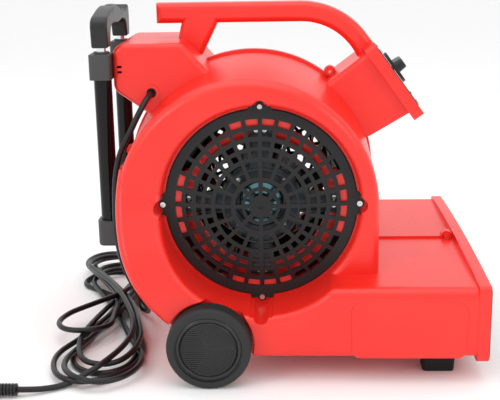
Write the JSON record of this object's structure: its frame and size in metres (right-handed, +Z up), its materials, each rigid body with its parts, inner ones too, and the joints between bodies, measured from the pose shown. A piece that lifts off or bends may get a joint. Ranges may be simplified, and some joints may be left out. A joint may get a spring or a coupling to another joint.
{
  "type": "air mover",
  "caption": "Centrifugal carpet blower: moulded spiral housing with floor-level outlet, side inlets, wheels, carry handle, speed knob, telescopic trolley handle and a coiled mains cord.",
  "frame": {"origin": "on the floor below the middle of the machine, cord left out", "axes": "+X towards the air outlet, +Z up, Y along the fan and wheel axles; the seam of the two housing halves is Y = 0"},
  "size_m": [0.685, 0.531, 0.471],
  "materials": {
    "red_shell": "satin gloss moulded",
    "grille_plastic": "fine moulded grain",
    "bright_screw": "plated",
    "spider_steel": "zinc plated",
    "motor_paint": "satin paint",
    "bell_steel": "spun",
    "shaft_steel": "ground",
    "fan_plastic": "moulded",
    "capacitor_can": "drawn",
    "black_plastic": "satin moulded",
    "panel_grey": "printed film",
    "tyre_rubber": "matte",
    "foot_rubber": "matte",
    "tube_black": "gloss enamel",
    "tube_chrome": "plated",
    "cord_rubber": "satin",
    "pin_brass": "nickel plated"
  },
  "bodies": {
    "housing": {"axle_clips": "bright_screw", "bracket_screws": "bright_screw", "capacitor_clip": "black_plastic", "cord_gland": "cord_rubber", "cord_hanging": "cord_rubber", "cord_hank": "cord_rubber", "cord_tail": "cord_rubber", "foot_far": "foot_rubber", "foot_near": "foot_rubber", "foot_screws": "bright_screw", "grille_screws_far": "bright_screw", "grille_screws_near": "bright_screw", "housing_far": "red_shell", "housing_near": "red_shell", "inlet_grille_far": "grille_plastic", "inlet_grille_near": "grille_plastic", "lower_bracket": "black_plastic", "motor_bearing_front": "shaft_steel", "motor_bearing_rear": "shaft_steel", "motor_bell": "bell_steel", "motor_body": "motor_paint", "motor_screws": "bright_screw", "motor_spider": "spider_steel", "outer_tube_far": "tube_black", "outer_tube_near": "tube_black", "outlet_grid": "grille_plastic", "panel_plate": "panel_grey", "panel_screws": "bright_screw", "plug_body": "cord_rubber", "plug_pins": "pin_brass", "plug_sleeve": "cord_rubber", "rotary_switch": "black_plastic", "run_capacitor": "capacitor_can", "seam_screws": "bright_screw", "spider_screws": "bright_screw", "upper_bracket": "black_plastic", "wheel_axle": "shaft_steel"},
    "fan": {"motor_shaft": "shaft_steel", "impeller": "fan_plastic", "hub_set_screw": "bright_screw"},
    "wheel_near": {"tyre_near": "tyre_rubber", "wheel_hub_near": "black_plastic", "hub_cap_near": "black_plastic"},
    "wheel_far": {"tyre_far": "tyre_rubber", "wheel_hub_far": "black_plastic", "hub_cap_far": "black_plastic"},
    "knob": {"speed_knob": "black_plastic", "switch_shaft": "shaft_steel"},
    "middle_stage": {"middle_tube_near": "tube_chrome", "middle_tube_far": "tube_chrome", "middle_bush_near": "black_plastic", "middle_bush_far": "black_plastic"},
    "handle": {"inner_rod_near": "tube_chrome", "inner_rod_far": "tube_chrome", "trolley_grip": "black_plastic"},
    "button": {"release_button": "black_plastic"}
  },
  "joints": [
    {"name": "fan_spin", "type": "hinge", "parent": "housing", "child": "fan", "pos_m": [-0.031, 0, 0.22], "axis": [0, 1, 0], "continuous": true},
    {"name": "wheel_near_spin", "type": "hinge", "parent": "housing", "child": "wheel_near", "pos_m": [-0.0974, 0, 0.0544], "axis": [0, 1, 0], "continuous": true},
    {"name": "wheel_far_spin", "type": "hinge", "parent": "housing", "child": "wheel_far", "pos_m": [-0.0974, 0, 0.0544], "axis": [0, 1, 0], "continuous": true},
    {"name": "knob_turn", "type": "hinge", "parent": "housing", "child": "knob", "pos_m": [0.15156, 0, 0.37493], "axis": [0.809, 0, 0.5878], "range_deg": [0, 135]},
    {"name": "middle_stage_slide", "type": "slide", "parent": "housing", "child": "middle_stage", "axis": [0, 0, 1], "range_m": [0, 0.205]},
    {"name": "handle_slide", "type": "slide", "parent": "middle_stage", "child": "handle", "axis": [0, 0, 1], "range_m": [0, 0.205]},
    {"name": "button_press", "type": "slide", "parent": "handle", "child": "button", "axis": [0, 0, -1], "range_m": [0, 0.0025], "stiffness_N_per_m": 400, "springref_m": -0.0005}
  ]
}
